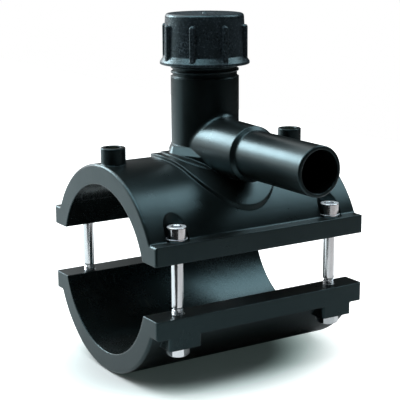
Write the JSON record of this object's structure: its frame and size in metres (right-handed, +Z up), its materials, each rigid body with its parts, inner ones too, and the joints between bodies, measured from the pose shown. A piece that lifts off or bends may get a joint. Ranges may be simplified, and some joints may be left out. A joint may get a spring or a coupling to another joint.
{
  "type": "tapping saddle",
  "caption": "Black electrofusion tapping saddle with a screw-capped chimney, a side spigot and a bolted lower clamp for a plastic main.",
  "frame": {"origin": "on the pipe axis at the middle of the saddle, under the chimney", "axes": "+X along the main pipe, -Y along the branch spigot, +Z up the chimney"},
  "size_m": [0.128, 0.1574, 0.1863],
  "materials": {
    "pe_body": "satin moulded",
    "pe_clamp": "satin moulded",
    "pe_cap": "fine grain",
    "mat_pe": "smooth",
    "wire": "drawn copper alloy wire",
    "terminal": "bright turned",
    "guide_brass": "turned",
    "cutter_steel": "turned and hardened",
    "seal_rubber": "moulded",
    "gasket_rubber": "moulded",
    "screw_zinc": "bright zinc plate",
    "washer_zinc": "bright zinc plate",
    "nut_zinc": "zinc plate"
  },
  "bodies": {
    "saddle": {"saddle_body": "pe_body", "fusion_mat": "mat_pe", "heating_wire": "wire", "terminal_pin_left": "terminal", "terminal_pin_right": "terminal", "cutter_guide": "guide_brass", "washer_front_left": "washer_zinc", "washer_rear_left": "washer_zinc", "washer_front_right": "washer_zinc", "washer_rear_right": "washer_zinc"},
    "clamp": {"lower_clamp": "pe_clamp", "nut_front_left": "nut_zinc", "nut_rear_left": "nut_zinc", "nut_front_right": "nut_zinc", "nut_rear_right": "nut_zinc"},
    "cutter_carrier": {"cutter_seal": "seal_rubber"},
    "cutter": {"tapping_cutter": "cutter_steel"},
    "cap_carrier": {"cap_gasket": "gasket_rubber"},
    "cap": {"cap": "pe_cap"},
    "screw_front_left": {"screw_front_left": "screw_zinc"},
    "screw_rear_left": {"screw_rear_left": "screw_zinc"},
    "screw_front_right": {"screw_front_right": "screw_zinc"},
    "screw_rear_right": {"screw_rear_right": "screw_zinc"}
  },
  "joints": [
    {"name": "screw_turn_front_left", "type": "hinge", "parent": "saddle", "child": "screw_front_left", "pos_m": [-0.0475, -0.0485, 0], "axis": [0, 0, -1], "range_deg": [0, 9720.2]},
    {"name": "screw_turn_rear_left", "type": "hinge", "parent": "saddle", "child": "screw_rear_left", "pos_m": [-0.0475, 0.0485, 0], "axis": [0, 0, -1], "range_deg": [0, 9720.2]},
    {"name": "screw_turn_front_right", "type": "hinge", "parent": "saddle", "child": "screw_front_right", "pos_m": [0.0475, -0.0485, 0], "axis": [0, 0, -1], "range_deg": [0, 9720.2]},
    {"name": "screw_turn_rear_right", "type": "hinge", "parent": "saddle", "child": "screw_rear_right", "pos_m": [0.0475, 0.0485, 0], "axis": [0, 0, -1], "range_deg": [0, 9720.2]},
    {"name": "clamp_close", "type": "slide", "parent": "saddle", "child": "clamp", "axis": [0, 0, 1], "range_m": [0, 0.027]},
    {"name": "cutter_feed", "type": "slide", "parent": "saddle", "child": "cutter_carrier", "axis": [0, 0, 1], "range_m": [-0.0396, 0]},
    {"name": "cutter_turn", "type": "hinge", "parent": "cutter_carrier", "child": "cutter", "pos_m": [0, 0, 0.09], "axis": [0, 0, 1], "range_deg": [-7110, 0]},
    {"name": "cap_lift", "type": "slide", "parent": "saddle", "child": "cap_carrier", "axis": [0, 0, 1], "range_m": [0, 0.0201]},
    {"name": "cap_turn", "type": "hinge", "parent": "cap_carrier", "child": "cap", "pos_m": [0, 0, 0.11], "axis": [0, 0, 1], "range_deg": [0, 2880]}
  ],
  "couplings": [
    {"joint": "screw_turn_front_left", "follows": "clamp_close", "rad_per_m": 6283.2},
    {"joint": "screw_turn_rear_left", "follows": "clamp_close", "rad_per_m": 6283.2},
    {"joint": "screw_turn_front_right", "follows": "clamp_close", "rad_per_m": 6283.2},
    {"joint": "screw_turn_rear_right", "follows": "clamp_close", "rad_per_m": 6283.2},
    {"joint": "cutter_feed", "follows": "cutter_turn", "m_per_rad": 0.00031831},
    {"joint": "cap_lift", "follows": "cap_turn", "m_per_rad": 0.00039789}
  ]
}
